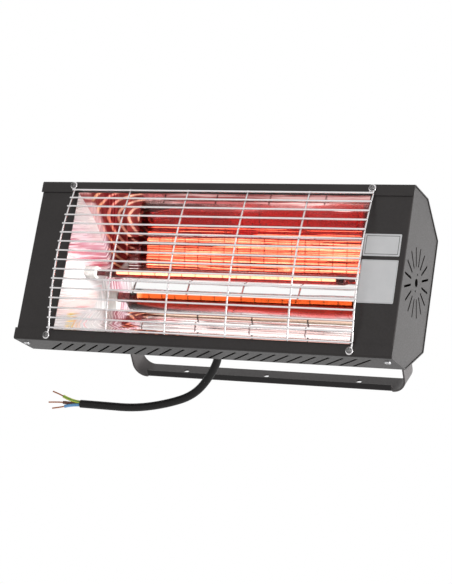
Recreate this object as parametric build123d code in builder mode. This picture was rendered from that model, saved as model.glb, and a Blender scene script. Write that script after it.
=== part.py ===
from build123d import *
from math import cos, hypot, pi, radians, sin, tan
import os

os.makedirs("parts", exist_ok=True)

# Wall infrared heater: a folded steel housing on a U bracket, with a ruby quartz lamp in a
# polished trough behind a wire guard. Millimetres.
# Row frame: X along the width, -Y into the room, +Z up, origin on the wall face of the bracket,
# midway between its two outer screw holes.

# Housing shell: its width follows from the lamp, the window's margin and the front panels
housing_height = 195
housing_depth = 97
flat_depth = 47
back_height = 130
sheet = 1.2
bend = 2.5
lip = 13.5

# End caps, folded from one sheet each and slid into the shell
cap_gap = 0.3
cap_recess = 0.8
window_margin = 4
panel_width = 49.2
flange = 16
cap_bend = 2.0
relief = 2.5
notch = 4.4
burst_count = 16
burst_inner = 17.7
burst_outer = 39.2
burst_slot = 2.5
burst_centre_hole = 4.6
burst_dot = 1.3
burst_dot_pitch = 9.4

# Vents in the top and bottom panels
vent_end_margin = 43
vent_pitch = 15.9
vent_length = 46
vent_width = 2.6
vent_angle = -46

# Case screws
case_screw_radius = 1.75
case_screw_head = 3.6
case_screw_inset = 9.5
case_screw_depth = 16
case_screw_back = 44

# Reflector
reflector_sheet = 0.6
mouth_height = 85
mouth_lip = 9
apex_depth = 84.6
apex_height = 8.7
lower_sagitta = 2.3
end_slant = 0.13
end_margin = 3
end_foot = 14
end_foot_half = 78
lamp_hole_gap = 0.8

# Lamp
lamp_depth = 46.4
tube_radius = 5.5
tube_wall = 1.0
lit_length = 280
cold_end = 11
filament_radius = 1.6
support_count = 17
support_wire = 0.5
pinch_thickness = 3
pinch_width = 8
pinch_length = 21
lamp_cap_radius = 7.5
lamp_cap_length = 15
lamp_cap_gap = 14
pin_radius = 0.6
button_radius = 2.5
button_height = 0.6

# Lamp holders
holder_size = 24
holder_length = 22
holder_gap = 4
cavity_radius = 5.2
cavity_length = 13
plunger_radius = 2
plunger_gap = 0.3
plunger_length = 22.1
plunger_flange = 4.2
plunger_travel = 3
bracket_sheet = 1.5
holder_bracket_half = 43.5
holder_bracket_foot = 14
holder_bracket_width = 20
holder_screw_pitch = 8.5
holder_screw_radius = 1.5

# Wire guard
guard_side = 4
guard_bow = 11.5
guard_wire = 2.2
guard_wall_gap = 0.2
guard_straight = 84
guard_bar_count = 16
guard_bar_pitch = 11.22
guard_top_bar = 85.7
guard_upright_count = 6
guard_overhang = 1.8
eyelet_height = 91.8
eyelet_shift = 2
eyelet_radius = 3.4
guard_screw_radius = 1.75
guard_screw_head = 3.3
guard_screw_length = 8

# Blank plates on the right front panel
plate_width = 42
plate_thickness = 0.3
small_plate_height = 25
small_plate_centre = 28
large_plate_height = 48.5
large_plate_centre = -13.1
plate_inset = 0.5

# Wall bracket
tilt = 45
strip_width = 28.2
strip = 2
bracket_half_width = 180.7
bracket_corner = 17
arm_reach = 140.4
hole_rise = 1.25
wall_hole_radius = 3.75
wall_hole_offset = 115.2
middle_hole_offset = -5.8
stiffener = 8.9
stiffener_half = 162.5
stiffener_bend = 2.5

# Pivots
pivot_back = 22
pivot_height = 23.3
running_gap = 0.3
friction_washer = 1.0
friction_washer_radius = 9
ear_sheet = 2
ear_foot = 22
ear_half = 16
ear_nose = 11
bolt_radius = 3
bolt_fit = 0.05
bolt_hex = 10
bolt_head = 4
washer = 1.2
washer_radius = 7
nut = 5.5
rivet_depth = 14
rivet_radius = 1.6
rivet_head = 3.2
rivet_pitch = 10

# Supply cord, from the bushing to its bare end
cord_radius = 4.8
core_radius = 1.6
conductor_radius = 0.7
bushing_x = -12.3
bushing_inset = 9.4
bushing_radius = 6.2
bushing_flange = 7.6
bushing_flange_thickness = 2
bushing_length = 9
bushing_nut_size = 7.4
cord_inside = 10

# Wiring inside
block_length = 44
block_height = 16
block_depth = 12
block_x = -12
block_z = -37
pole_pitch = 13
pole_screw_radius = 2.2
lead_radius = 1.1
lead_bend = 4
lead_standoff = 5.8
lead_pitch = 2.6
stud_radius = 2
stud_x = 40
stud_z = -37
stud_head = 0.8
stud_length = 7.2
earth_ring_radius = 4.5
earth_ring_thickness = 0.8
earth_tab_width = 2.2
earth_tab_length = 7.5
earth_lead_rise = 5.5
earth_lead_end = 5.5
earth_lead_fold = 7.5
earth_lead_bend = 0.9
earth_nut_size = 3.5
earth_nut_height = 3.2

# The housing's own directions and centre, tilted about the pivot
into = Vector(0, cos(radians(tilt)), sin(radians(tilt)))
up = Vector(0, -sin(radians(tilt)), cos(radians(tilt)))
across = Vector(1, 0, 0)
pivot = Vector(0, -arm_reach, -hole_rise)
front_centre = pivot - into * (housing_depth + pivot_back) - up * pivot_height


def spot(x, depth, height):
    "A point given in the housing's own width, depth and height."
    return front_centre + across * x + into * depth + up * height


def end_plane(x):
    "Sketch plane across the width: its X is depth and its Y is height."
    return Plane(spot(x, 0, 0), x_dir=into, z_dir=across)


def front_plane(depth):
    "Sketch plane facing the room: its X is width and its Y is height."
    return Plane(spot(0, depth, 0), x_dir=across, z_dir=into * -1)


def level_plane(height):
    "Sketch plane parallel to the top panel: its X is width and its Y is depth."
    return Plane(spot(0, 0, height), x_dir=across, z_dir=up)


def save(name, part):
    "Label a finished piece and write its file."
    part.label = name
    export_step(part, "parts/" + name + ".step")


tube_length = lit_length + 2 * cold_end
lamp_end = tube_length / 2
cap_start = lamp_end + lamp_cap_gap
cap_end = cap_start + lamp_cap_length
window_half = cap_end + window_margin
cap_face = window_half + panel_width
half_width = cap_face + cap_recess
housing_width = 2 * half_width
guard_half_width = window_half + guard_side
half_height = housing_height / 2
half_back = back_height / 2
lip_edge = half_height - lip
cap_back = cap_face - sheet
cap_inset = sheet + cap_gap
section = [
    (0, lip_edge),
    (0, half_height),
    (flat_depth, half_height),
    (housing_depth, half_back),
    (housing_depth, -half_back),
    (flat_depth, -half_height),
    (0, -half_height),
    (0, -lip_edge),
]
case_screw_x = half_width - case_screw_inset
vent_middle = flat_depth / 2 + 4
vent_count = 1 + int(2 * (half_width - vent_end_margin) / vent_pitch)

# Lower rear slope of the shell, where the cord's bushing sits
slope_run = housing_depth - flat_depth
slope_rise = half_height - half_back
slope_length = hypot(slope_run, slope_rise)
slope_out = into * (slope_rise / slope_length) - up * (slope_run / slope_length)
bushing_depth = housing_depth - bushing_inset * slope_run / slope_length
bushing_height = -half_back - bushing_inset * slope_rise / slope_length
bushing_seat = spot(bushing_x, bushing_depth, bushing_height)
bushing_plane = Plane(bushing_seat, x_dir=across, z_dir=slope_out)

# Guard screws hold the eyelets to the shell's lips
guard_screw_spots = [
    (side * guard_half_width - eyelet_shift, end * eyelet_height)
    for side in (-1, 1)
    for end in (-1, 1)
]

# Pivot stack, from the arm inwards
arm_inner = bracket_half_width - strip
ear_outer = arm_inner - running_gap - friction_washer
ear_inner = ear_outer - ear_sheet
rivet_x = ear_outer - rivet_depth
rivet_spots = [
    (side * rivet_x, pivot_height + end * rivet_pitch) for side in (-1, 1) for end in (-1, 1)
]

# Folded steel shell
with BuildPart() as housing_shell:
    with BuildSketch(end_plane(-half_width)):
        with BuildLine():
            FilletPolyline(*section, radius=bend)
            offset(amount=sheet, side=Side.RIGHT, closed=True)
        make_face()
    extrude(amount=housing_width)
    for side in (-1, 1):
        with BuildSketch(level_plane(side * half_height)):
            with Locations((0, vent_middle)):
                with GridLocations(vent_pitch, 0, vent_count, 1):
                    SlotOverall(vent_length, vent_width, rotation=vent_angle)
            with Locations((-case_screw_x, case_screw_depth), (case_screw_x, case_screw_depth)):
                Circle(case_screw_radius + cap_gap)
        extrude(amount=2 * sheet, both=True, mode=Mode.SUBTRACT)
    with BuildSketch(front_plane(housing_depth)):
        with GridLocations(2 * case_screw_x, 2 * case_screw_back, 2, 2):
            Circle(case_screw_radius + cap_gap)
        with Locations(rivet_spots):
            Circle(rivet_radius)
        with Locations((stud_x, stud_z)):
            Circle(stud_radius)
    extrude(amount=2 * sheet, both=True, mode=Mode.SUBTRACT)
    with BuildSketch(front_plane(0)):
        with Locations(guard_screw_spots):
            Circle(guard_screw_radius)
    extrude(amount=2 * sheet, both=True, mode=Mode.SUBTRACT)
    with BuildSketch(bushing_plane):
        Circle(bushing_radius)
    extrude(amount=2 * sheet, both=True, mode=Mode.SUBTRACT)
save("housing_shell", housing_shell.part)

# Outline of an end cap inside the shell, with its front corners relieved
cap_half_height = half_height - cap_inset
cap_half_back = half_back - cap_inset * slope_rise / slope_length
cap_flat = flat_depth - cap_inset * (slope_length - slope_run) / slope_rise
cap_outline = [
    (cap_inset, cap_half_height - relief),
    (cap_inset + relief, cap_half_height - relief),
    (cap_inset + relief, cap_half_height),
    (cap_flat, cap_half_height),
    (housing_depth - cap_inset, cap_half_back),
    (housing_depth - cap_inset, -cap_half_back),
    (cap_flat, -cap_half_height),
    (cap_inset + relief, -cap_half_height),
    (cap_inset + relief, relief - cap_half_height),
    (cap_inset, relief - cap_half_height),
]


def end_cap(side):
    "Side plate with its front panel, its three flanges and the round vent."
    face_x = side * cap_face
    with BuildPart() as cap:
        with BuildSketch(end_plane(face_x)):
            with BuildLine():
                Polyline(*cap_outline, close=True)
            make_face()
        extrude(amount=-side * sheet)
        with BuildSketch(front_plane(cap_inset)):
            with Locations((side * (cap_face - panel_width / 2), 0)):
                Rectangle(panel_width, 2 * (cap_half_height - relief))
            with Locations(guard_screw_spots):
                Rectangle(notch, notch, mode=Mode.SUBTRACT)
        extrude(amount=-sheet)
        front_edges = cap.edges().filter_by(Axis(front_centre, up)).group_by(Axis(front_centre, into))[0]
        fillet(front_edges.sort_by(Axis(front_centre, across * side))[-1], radius=cap_bend)
        for end in (-1, 1):
            with BuildSketch(level_plane(end * cap_half_height)):
                with Locations((side * (cap_face - flange / 2), (cap_flat + cap_inset + relief) / 2)):
                    Rectangle(flange, cap_flat - cap_inset - relief)
            extrude(amount=-end * sheet)
        with BuildSketch(front_plane(housing_depth - cap_inset)):
            with Locations((side * (cap_face - flange / 2), 0)):
                Rectangle(flange, 2 * cap_half_back - 4)
        extrude(amount=sheet)
        with BuildSketch(end_plane(face_x)):
            with Locations((lamp_depth, 0)):
                with PolarLocations((burst_inner + burst_outer) / 2, burst_count):
                    SlotOverall(burst_outer - burst_inner, burst_slot)
                Circle(burst_centre_hole)
            with Locations((lamp_depth, burst_dot_pitch), (lamp_depth, -burst_dot_pitch)):
                Circle(burst_dot)
        extrude(amount=2 * sheet, both=True, mode=Mode.SUBTRACT)
        for end in (-1, 1):
            with BuildSketch(level_plane(end * half_height)):
                with Locations((side * case_screw_x, case_screw_depth)):
                    Circle(case_screw_radius)
            extrude(amount=4 * sheet, both=True, mode=Mode.SUBTRACT)
        with BuildSketch(front_plane(housing_depth)):
            with Locations((side * case_screw_x, case_screw_back), (side * case_screw_x, -case_screw_back)):
                Circle(case_screw_radius)
        extrude(amount=4 * sheet, both=True, mode=Mode.SUBTRACT)
    return cap.part


save("end_cap_left", end_cap(-1))
save("end_cap_right", end_cap(1))


def screw(plane, shank_radius, shank_length, head_radius, head_height):
    "Pan head screw: the plane's normal points out of the head."
    with BuildPart() as piece:
        with BuildSketch(plane):
            Circle(head_radius)
        extrude(amount=head_height)
        fillet(piece.edges().group_by(Axis(plane.origin, plane.z_dir))[-1], radius=head_height * 0.6)
        with BuildSketch(plane):
            Circle(shank_radius)
        extrude(amount=-shank_length)
        with BuildSketch(plane.offset(head_height)):
            Rectangle(head_radius * 1.2, head_radius * 0.28)
            Rectangle(head_radius * 0.28, head_radius * 1.2)
        extrude(amount=-head_height * 0.45, mode=Mode.SUBTRACT)
    return piece.part


def moved(plane, x, y):
    "The plane with its origin moved along its own X and Y."
    return Plane(plane.from_local_coords((x, y, 0)), x_dir=plane.x_dir, z_dir=plane.z_dir)


case_screw_length = 4 * sheet
case_screw_head_height = 2
case_screws = []
for side in (-1, 1):
    x = side * case_screw_x
    for end in (-1, 1):
        flat = Plane(spot(x, case_screw_depth, end * half_height), x_dir=across, z_dir=up * end)
        rear = Plane(spot(x, housing_depth, end * case_screw_back), x_dir=across, z_dir=into)
        for seat in (flat, rear):
            case_screws.append(
                screw(seat, case_screw_radius, case_screw_length, case_screw_head, case_screw_head_height)
            )
save("case_screws", Compound(children=case_screws))

# Reflector section: a smooth upper curve, then two flats and a shallow arc below the deepest fold
upper_curve = [(0, mouth_height), (9.7, 80.6), (36.4, 66.1), (73.9, 30.0), (apex_depth, apex_height)]
lower_folds = [(apex_depth, apex_height), (66.7, -38.7), (35.7, -65.4)]
flange_front = sheet + cap_gap
foot_front = cap_inset + sheet


with BuildLine() as upper_guide:
    Spline(*upper_curve)
with BuildLine() as lower_guide:
    SagittaArc(lower_folds[-1], (0, -mouth_height), lower_sagitta)


def outward(tangent):
    "Direction out of the trough for a direction along its section."
    return Vector(-tangent.Y, tangent.X)


def mitre(before, after, grow):
    "Step to the outside of a fold that keeps the sheet's thickness on both sides."
    return (before + after) * (grow / (1 + before.dot(after)))


def trough_face(grow):
    "Face inside the reflector's curve, grown by the given amount."
    steps = 12
    outer = []
    for step in range(steps):
        place = upper_guide.line @ (step / steps)
        outer.append(place + outward(upper_guide.line % (step / steps)) * grow)
    corners = [Vector(*point) for point in lower_folds]
    slopes = [outward(upper_guide.line % 1)]
    for start, end in zip(corners, corners[1:]):
        slopes.append(outward((end - start).normalized()))
    slopes.append(outward(lower_guide.line % 0))
    folds = []
    for corner, before, after in zip(corners, slopes, slopes[1:]):
        folds.append(corner + mitre(before, after, grow))
    last = lower_guide.line @ 1 + outward(lower_guide.line % 1) * grow
    with BuildSketch(end_plane(0)) as face:
        with BuildLine():
            Spline(*outer, folds[0])
            Polyline(*folds)
            SagittaArc(folds[-1], last, lower_sagitta)
            Line(last, outer[0])
        make_face()
    return face.sketch


def slant_plane(side, shift):
    "Plane of a reflector end, leaning inwards with depth; its normal points to the middle."
    lean = (across * -side - into * end_slant).normalized()
    start = window_half + shift * hypot(1, end_slant)
    return Plane(spot(side * start, 0, 0), x_dir=up, z_dir=lean)


trough_inside = trough_face(0)
trough_outside = trough_face(reflector_sheet)
end_outline = trough_face(end_margin)

with BuildPart() as reflector_trough:
    extrude(trough_outside, amount=window_half, both=True)
    extrude(trough_inside, amount=window_half, both=True, mode=Mode.SUBTRACT)
    with BuildSketch(front_plane(flange_front)):
        Rectangle(2 * window_half, 2 * housing_height)
    extrude(amount=housing_depth, mode=Mode.SUBTRACT)
    with BuildSketch(front_plane(flange_front)):
        with GridLocations(0, 2 * mouth_height - 1.2 + mouth_lip, 1, 2):
            Rectangle(2 * window_half, mouth_lip)
    extrude(amount=-reflector_sheet)
    for side in (-1, 1):
        with BuildSketch(slant_plane(side, 0)):
            Rectangle(2 * housing_height, 2 * housing_height)
        extrude(amount=-window_half, mode=Mode.SUBTRACT)
save("reflector_trough", reflector_trough.part)


def reflector_end(side):
    "Slanted end plate with the lamp's hole and a foot behind the front panel."
    with BuildPart() as plate:
        extrude(end_outline, amount=window_half + reflector_sheet, both=True)
        with BuildSketch(front_plane(foot_front)):
            Rectangle(3 * window_half, 2 * housing_height)
        extrude(amount=housing_depth, mode=Mode.SUBTRACT)
        with BuildSketch(slant_plane(side, reflector_sheet)):
            Rectangle(2 * housing_height, 2 * housing_height)
        extrude(amount=reflector_sheet, mode=Mode.INTERSECT)
        with BuildSketch(front_plane(foot_front)):
            foot_start = window_half - end_slant * foot_front
            with Locations((side * (foot_start + end_foot / 2), 0)):
                Rectangle(end_foot, 2 * end_foot_half)
        extrude(amount=-reflector_sheet)
        with BuildSketch(end_plane(0)):
            with Locations((lamp_depth, 0)):
                Circle(lamp_cap_radius + lamp_hole_gap)
        extrude(amount=side * 2 * window_half, mode=Mode.SUBTRACT)
    return plate.part


save("reflector_end_left", reflector_end(-1))
save("reflector_end_right", reflector_end(1))

# Lamp: quartz tube with pinched ends, filament and its supports inside
lamp_axis = Plane(spot(0, lamp_depth, 0), x_dir=into, z_dir=across)
with BuildPart() as lamp_tube:
    with BuildSketch(lamp_axis):
        Circle(tube_radius)
    extrude(amount=lamp_end, both=True)
    with BuildSketch(lamp_axis):
        Rectangle(pinch_thickness, pinch_width)
    extrude(amount=lamp_end + pinch_length, both=True)
    with BuildSketch(lamp_axis):
        Circle(tube_radius - tube_wall)
    extrude(amount=lamp_end - 2 * tube_wall, both=True, mode=Mode.SUBTRACT)
save("lamp_tube", lamp_tube.part)

with BuildPart() as lamp_filament:
    with BuildSketch(lamp_axis):
        Circle(filament_radius)
    extrude(amount=lit_length / 2, both=True)
save("lamp_filament", lamp_filament.part)

support_gap = 0.05
support_outer = tube_radius - tube_wall - support_gap
support_hub = filament_radius + support_gap
supports = []
for index in range(support_count):
    x = lit_length * (index / (support_count - 1) - 0.5)
    with BuildPart() as support:
        with BuildSketch(lamp_axis.offset(x)):
            Circle(support_outer)
            Circle(support_outer - support_wire, mode=Mode.SUBTRACT)
            Rectangle(2 * support_outer - support_wire, support_wire)
            Circle(support_hub + support_wire)
            Circle(support_hub, mode=Mode.SUBTRACT)
        extrude(amount=support_wire / 2, both=True)
    supports.append(support.part)
save("filament_supports", Compound(children=supports))

pins = []
for side in (-1, 1):
    with BuildPart() as pin:
        with BuildSketch(lamp_axis.offset(side * lit_length / 2)):
            Circle(pin_radius)
        extrude(amount=side * (lamp_end - 2 * tube_wall - lit_length / 2))
    pins.append(pin.part)
save("lamp_pins", Compound(children=pins))

caps = []
for side in (-1, 1):
    with BuildPart() as lamp_cap:
        with BuildSketch(lamp_axis.offset(side * cap_start)):
            Circle(lamp_cap_radius)
        extrude(amount=side * lamp_cap_length)
        ends = lamp_cap.edges().filter_by(GeomType.CIRCLE)
        chamfer(ends, length=0.8)
        with BuildSketch(lamp_axis.offset(side * cap_start)):
            Rectangle(pinch_thickness + 0.4, pinch_width + 0.4)
        extrude(amount=side * (lamp_end + pinch_length - cap_start + 0.3), mode=Mode.SUBTRACT)
    caps.append(lamp_cap.part)
save("lamp_caps", Compound(children=caps))

buttons = []
for side in (-1, 1):
    with BuildPart() as button:
        with BuildSketch(lamp_axis.offset(side * cap_end)):
            Circle(button_radius)
        extrude(amount=side * button_height)
    buttons.append(button.part)
save("lamp_buttons", Compound(children=buttons))

# Lamp holders: ceramic blocks on hat brackets, each with a sprung contact
block_start = cap_end + holder_gap + 0.5
block_end = block_start + holder_length
cavity_start = block_start + 2
plunger_start = cap_end + button_height + plunger_gap
collar_start = cavity_start + plunger_travel + 0.5


def holder_block(side):
    "Ceramic block with a stepped bore for the sprung contact and two screw holes."
    with BuildPart() as block:
        with BuildSketch(lamp_axis.offset(side * block_start)):
            RectangleRounded(holder_size, holder_size, 2)
            Circle(plunger_radius + cap_gap, mode=Mode.SUBTRACT)
        extrude(amount=side * holder_length)
        with BuildSketch(lamp_axis.offset(side * cavity_start)):
            Circle(cavity_radius)
        extrude(amount=side * cavity_length, mode=Mode.SUBTRACT)
        with BuildSketch(lamp_axis.offset(side * block_end)):
            with GridLocations(0, 2 * holder_screw_pitch, 1, 2):
                Circle(holder_screw_radius)
        extrude(amount=-side * 6, mode=Mode.SUBTRACT)
    return block.part


def contact_plunger(side):
    "Round contact pin with a collar for its spring."
    with BuildPart() as plunger:
        with BuildSketch(lamp_axis.offset(side * plunger_start)):
            Circle(plunger_radius)
        extrude(amount=side * plunger_length)
        with BuildSketch(lamp_axis.offset(side * collar_start)):
            Circle(plunger_flange)
        extrude(amount=side * 1.5)
        rims = plunger.edges().filter_by(GeomType.CIRCLE).sort_by(Axis(spot(0, 0, 0), across * side))
        fillet(rims[0], radius=0.8)
    return plunger.part


def holder_bracket(side):
    "Hat bracket from the block to the side plate."
    leg = holder_bracket_half - bracket_sheet
    with BuildPart() as hat:
        with BuildSketch(lamp_axis.offset(side * block_end)):
            Rectangle(holder_bracket_width, 2 * holder_bracket_half)
            with GridLocations(0, 2 * holder_screw_pitch, 1, 2):
                Circle(holder_screw_radius, mode=Mode.SUBTRACT)
        extrude(amount=side * bracket_sheet)
        with BuildSketch(lamp_axis.offset(side * block_end)):
            with GridLocations(0, 2 * leg + bracket_sheet, 1, 2):
                Rectangle(holder_bracket_width, bracket_sheet)
        extrude(amount=side * (cap_back - block_end))
        with BuildSketch(lamp_axis.offset(side * cap_back)):
            with GridLocations(0, 2 * leg + holder_bracket_foot, 1, 2):
                Rectangle(holder_bracket_width, holder_bracket_foot)
        extrude(amount=-side * bracket_sheet)
    return hat.part


save("holder_block_left", holder_block(-1))
save("holder_block_right", holder_block(1))
save("contact_plunger_left", contact_plunger(-1))
save("contact_plunger_right", contact_plunger(1))
save("holder_bracket_left", holder_bracket(-1))
save("holder_bracket_right", holder_bracket(1))

holder_screws = []
for side in (-1, 1):
    for end in (-1, 1):
        spot_out = spot(side * (block_end + bracket_sheet), lamp_depth, end * holder_screw_pitch)
        seat = Plane(spot_out, x_dir=into, z_dir=across * side)
        holder_screws.append(screw(seat, holder_screw_radius, bracket_sheet + 6, 2.8, 1.8))
save("holder_screws", Compound(children=holder_screws))

# Wire guard: bowed uprights on the shell's lips, straight bars in front of them
guard_seat = guard_wire / 2 + guard_wall_gap
bow_radius = (guard_straight ** 2 + guard_bow ** 2) / (2 * guard_bow)
bow_centre = bow_radius - guard_bow - guard_seat


def upright_depth(height):
    "Depth of an upright's centre line at a height."
    if abs(height) > guard_straight:
        return -guard_seat
    return bow_centre - (bow_radius ** 2 - height ** 2) ** 0.5


def upright(x, top, bottom):
    "Bowed wire from the bottom height to the top height."
    side_view = end_plane(x)
    with BuildPart() as wire:
        with BuildLine(side_view) as route:
            Line((-guard_seat, bottom), (-guard_seat, -guard_straight))
            ThreePointArc(
                (-guard_seat, -guard_straight),
                (-guard_seat - guard_bow, 0),
                (-guard_seat, guard_straight),
            )
            Line((-guard_seat, guard_straight), (-guard_seat, top))
        with BuildSketch(Plane(spot(x, -guard_seat, bottom), x_dir=across, z_dir=up)):
            Circle(guard_wire / 2)
        sweep(path=route.line, transition=Transition.ROUND)
    return wire.part


bar_heights = [guard_top_bar - guard_bar_pitch * index for index in range(guard_bar_count)]
upright_pitch = 2 * guard_half_width / (guard_upright_count - 1)
ring_reach = (eyelet_radius ** 2 - eyelet_shift ** 2) ** 0.5
end_height = eyelet_height - ring_reach
uprights = []
for index in range(guard_upright_count):
    x = upright_pitch * index - guard_half_width
    if index in (0, guard_upright_count - 1):
        wire = upright(x, end_height, -end_height)
        for end in (-1, 1):
            ring_plane = Plane(spot(x - eyelet_shift, -guard_seat, end * eyelet_height), x_dir=across, z_dir=into)
            wire = wire + ring_plane * Torus(eyelet_radius, guard_wire / 2)
    else:
        wire = upright(x, bar_heights[0] + guard_overhang, bar_heights[-1] - guard_overhang)
    uprights.append(wire)
save("guard_uprights", Compound(children=uprights))

bar_half = guard_half_width + 1.5
bars = []
for height in bar_heights:
    depth = upright_depth(height)
    lean = height / bow_radius if abs(height) < guard_straight else 0
    reach = guard_wire + 0.04
    start = spot(-bar_half, depth - reach * (1 - lean ** 2) ** 0.5, height + reach * lean)
    with BuildPart() as bar:
        with BuildSketch(Plane(start, x_dir=into, z_dir=across)):
            Circle(guard_wire / 2)
        extrude(amount=2 * bar_half)
        fillet(bar.edges().filter_by(GeomType.CIRCLE), radius=guard_wire * 0.3)
    bars.append(bar.part)
save("guard_bars", Compound(children=bars))

guard_screws = []
for x, height in guard_screw_spots:
    seat = Plane(spot(x, -guard_seat - guard_wire / 2, height), x_dir=across, z_dir=into * -1)
    guard_screws.append(screw(seat, guard_screw_radius, guard_screw_length, guard_screw_head, 2.2))
save("guard_screws", Compound(children=guard_screws))

# Blank plates
plate_x = window_half + plate_inset + plate_width / 2


def plate(centre, height):
    "Thin blank plate on the right front panel."
    with BuildPart() as blank:
        with BuildSketch(front_plane(cap_inset)):
            with Locations((plate_x, centre)):
                RectangleRounded(plate_width, height, 1)
        extrude(amount=plate_thickness)
    return blank.part


save("plate_small", plate(small_plate_centre, small_plate_height))
save("plate_large", plate(large_plate_centre, large_plate_height))

# Wall bracket
strip_bottom = -hole_rise - strip_width / 2
with BuildPart() as wall_bracket:
    with BuildSketch(Plane.XY.offset(strip_bottom)):
        with BuildLine():
            FilletPolyline(
                (-bracket_half_width, -arm_reach),
                (-bracket_half_width, 0),
                (bracket_half_width, 0),
                (bracket_half_width, -arm_reach),
                radius=bracket_corner,
            )
            offset(amount=strip, side=Side.RIGHT, closed=True)
        make_face()
    extrude(amount=strip_width)
    for side in (-1, 1):
        with BuildSketch(Plane(pivot + across * side * arm_inner, x_dir=(0, 1, 0), z_dir=(1, 0, 0))):
            Circle(strip_width / 2)
        extrude(amount=side * strip)
    with BuildSketch(Plane.XY.offset(strip_bottom)):
        with Locations((0, -stiffener / 2)):
            Rectangle(2 * stiffener_half, stiffener)
    extrude(amount=strip)
    with BuildSketch(Plane.YZ):
        with Locations((-stiffener_bend / 2, strip_bottom + stiffener_bend / 2)):
            Rectangle(stiffener_bend, stiffener_bend)
        with Locations((-stiffener_bend, strip_bottom + stiffener_bend)):
            Circle(stiffener_bend, mode=Mode.SUBTRACT)
    extrude(amount=stiffener_half, both=True, mode=Mode.SUBTRACT)
    with BuildSketch(Plane.XZ):
        with Locations((-wall_hole_offset, 0), (middle_hole_offset, 0), (wall_hole_offset, 0)):
            Circle(wall_hole_radius)
    extrude(amount=2 * strip, both=True, mode=Mode.SUBTRACT)
    with BuildSketch(Plane(pivot, x_dir=(0, 1, 0), z_dir=(1, 0, 0))):
        Circle(bolt_radius)
    extrude(amount=2 * bracket_half_width, both=True, mode=Mode.SUBTRACT)
save("wall_bracket", wall_bracket.part)


def pivot_plane(x):
    "Plane across the pivot at a distance along the width."
    return Plane(pivot + across * x, x_dir=(0, 1, 0), z_dir=(1, 0, 0))


def ring(x, outer, inner, thickness):
    "Flat ring about the pivot, starting at x."
    with BuildPart() as disc:
        with BuildSketch(pivot_plane(x)):
            Circle(outer)
            Circle(inner, mode=Mode.SUBTRACT)
        extrude(amount=thickness)
    return disc.part


bolts = []
washers = []
nuts = []
friction_rings = []
nut_start = ear_inner - running_gap
for side in (-1, 1):
    head_start = side * (bracket_half_width + washer)
    bolt_end = nut_start - nut - 2
    with BuildPart() as bolt:
        with BuildSketch(pivot_plane(head_start)):
            RegularPolygon(bolt_hex / 2, 6, major_radius=False)
        extrude(amount=side * bolt_head)
        with BuildSketch(pivot_plane(head_start)):
            Circle(bolt_radius)
        extrude(amount=-side * (bracket_half_width + washer - bolt_end))
        rim = bolt.edges().group_by(Axis(pivot, across * side))[-1]
        chamfer(rim, length=0.6)
    bolts.append(bolt.part)
    washers.append(ring(side * bracket_half_width, washer_radius, bolt_radius, side * washer))
    with BuildPart() as hex_nut:
        with BuildSketch(pivot_plane(side * nut_start)):
            RegularPolygon(bolt_hex / 2, 6, major_radius=False)
            Circle(bolt_radius, mode=Mode.SUBTRACT)
        extrude(amount=-side * nut)
    nuts.append(hex_nut.part)
    ring_hole = bolt_radius + running_gap
    friction_rings.append(ring(side * ear_outer, friction_washer_radius, ring_hole, side * friction_washer))
save("pivot_bolts", Compound(children=bolts))
save("pivot_washers", Compound(children=washers))
save("pivot_nuts", Compound(children=nuts))
save("friction_washers", Compound(children=friction_rings))


def hinge_ear(side):
    "Angle on the back of the housing that carries the pivot."
    pivot_depth = housing_depth + pivot_back
    low = pivot_height - ear_half
    high = pivot_height + ear_half
    with BuildPart() as ear:
        with BuildSketch(end_plane(side * ear_outer)):
            with BuildLine():
                Polyline(
                    (housing_depth, low),
                    (housing_depth, high),
                    (pivot_depth, pivot_height + ear_nose),
                    (pivot_depth, pivot_height - ear_nose),
                    close=True,
                )
            make_face()
            with Locations((pivot_depth, pivot_height)):
                Circle(ear_nose)
                Circle(bolt_radius + bolt_fit, mode=Mode.SUBTRACT)
        extrude(amount=-side * ear_sheet)
        with BuildSketch(front_plane(housing_depth)):
            with Locations((side * (ear_outer - ear_foot / 2), pivot_height)):
                Rectangle(ear_foot, 2 * ear_half)
            with Locations(rivet_spots):
                Circle(rivet_radius, mode=Mode.SUBTRACT)
        extrude(amount=-ear_sheet)
        fold = ear.edges().filter_by(Axis(pivot, up)).group_by(Axis(pivot, into))[0]
        fillet(fold.sort_by(Axis(pivot, across * side))[-1], radius=ear_sheet * 0.8)
    return ear.part


save("hinge_ear_left", hinge_ear(-1))
save("hinge_ear_right", hinge_ear(1))

rivets = []
for x, height in rivet_spots:
    with BuildPart() as rivet:
        with BuildSketch(Plane(spot(x, housing_depth + ear_sheet, height), x_dir=across, z_dir=into)):
            Circle(rivet_head)
        extrude(amount=1.4)
        dome = rivet.edges().group_by(Axis(pivot, into))[-1]
        fillet(dome, radius=1.1)
        with BuildSketch(front_plane(housing_depth + ear_sheet)):
            with Locations((x, height)):
                Circle(rivet_radius)
        extrude(amount=ear_sheet + sheet)
        with BuildSketch(front_plane(housing_depth - sheet)):
            with Locations((x, height)):
                Circle(rivet_head * 0.9)
        extrude(amount=1.0)
    rivets.append(rivet.part)
save("ear_rivets", Compound(children=rivets))

# Cord bushing with its lock nut
with BuildPart() as cord_bushing:
    with BuildSketch(bushing_plane):
        Circle(bushing_flange)
    extrude(amount=bushing_flange_thickness)
    rim = cord_bushing.edges().group_by(Axis(bushing_seat, slope_out))[-1]
    fillet(rim, radius=1.2)
    with BuildSketch(bushing_plane):
        Circle(bushing_radius)
    extrude(amount=-bushing_length)
    with BuildSketch(bushing_plane.offset(bushing_flange_thickness)):
        Circle(cord_radius)
    extrude(amount=-2 * bushing_length, mode=Mode.SUBTRACT)
save("cord_bushing", cord_bushing.part)

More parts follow.
